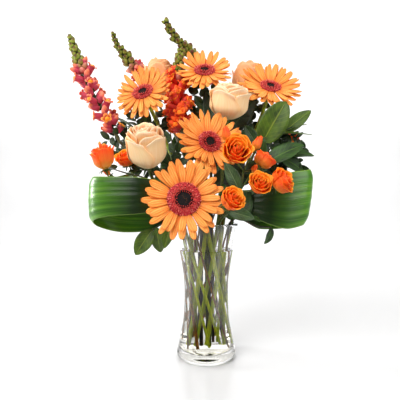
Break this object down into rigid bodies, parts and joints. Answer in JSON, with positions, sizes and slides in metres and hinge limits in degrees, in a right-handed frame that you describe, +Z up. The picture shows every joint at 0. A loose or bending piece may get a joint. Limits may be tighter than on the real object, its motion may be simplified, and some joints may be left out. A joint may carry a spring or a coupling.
{
  "type": "gerberas in a vase",
  "caption": "Mixed bouquet of gerberas, roses, spray roses, snapdragons and green leaves standing in the water of a clear hourglass glass vase.",
  "frame": {"origin": "middle of the vase's flat foot, on the surface it stands on", "axes": "+Z up the vase and the bouquet, -Y towards the viewer of the picture, +X to the viewer's right"},
  "size_m": [0.3928, 0.2674, 0.5367],
  "materials": {
    "vase_glass": "polished",
    "water": "polished",
    "gerbera_petals": "satin",
    "gerbera_disc": "matte",
    "flower_stem": "satin",
    "rose_petals": "satin",
    "rose_stem": "satin",
    "spray_rose_petals": "satin",
    "snapdragon": "satin",
    "aspidistra_leaf": "gloss",
    "foliage": "satin"
  },
  "bodies": {
    "root": {"vase": "vase_glass", "water": "water", "gerbera_1_petals": "gerbera_petals", "gerbera_1_disc": "gerbera_disc", "gerbera_1_stem": "flower_stem", "gerbera_2_petals": "gerbera_petals", "gerbera_2_disc": "gerbera_disc", "gerbera_2_stem": "flower_stem", "gerbera_3_petals": "gerbera_petals", "gerbera_3_disc": "gerbera_disc", "gerbera_3_stem": "flower_stem", "gerbera_4_petals": "gerbera_petals", "gerbera_4_disc": "gerbera_disc", "gerbera_4_stem": "flower_stem", "gerbera_5_petals": "gerbera_petals", "gerbera_5_disc": "gerbera_disc", "gerbera_5_stem": "flower_stem", "rose_1_petals": "rose_petals", "rose_1_stem": "rose_stem", "rose_2_petals": "rose_petals", "rose_2_stem": "rose_stem", "rose_3_petals": "rose_petals", "rose_3_stem": "rose_stem", "rose_4_petals": "rose_petals", "rose_4_stem": "rose_stem", "spray_rose_1_petals": "spray_rose_petals", "spray_rose_2_petals": "spray_rose_petals", "spray_rose_3_petals": "spray_rose_petals", "spray_rose_4_petals": "spray_rose_petals", "spray_rose_5_petals": "spray_rose_petals", "spray_rose_6_petals": "spray_rose_petals", "spray_rose_7_petals": "spray_rose_petals", "spray_rose_8_petals": "spray_rose_petals", "spray_bud_1_petals": "spray_rose_petals", "spray_bud_2_petals": "spray_rose_petals", "spray_bud_3_petals": "spray_rose_petals", "spray_bud_4_petals": "spray_rose_petals", "spray_bud_5_petals": "spray_rose_petals", "spray_right_stem": "rose_stem", "spray_left_stem": "rose_stem", "spray_back_stem": "rose_stem", "snapdragon_left": "snapdragon", "snapdragon_back_left": "snapdragon", "snapdragon_back": "snapdragon", "snapdragon_centre": "snapdragon", "aspidistra_left": "aspidistra_leaf", "aspidistra_right": "aspidistra_leaf", "foliage_right_upper": "foliage", "foliage_right_lower": "foliage", "foliage_centre": "foliage", "foliage_left_upper": "foliage", "foliage_left_lower": "foliage", "foliage_right_front": "foliage", "foliage_back_right": "foliage", "foliage_back_left": "foliage", "fine_foliage": "foliage"}
  },
  "joints": []
}
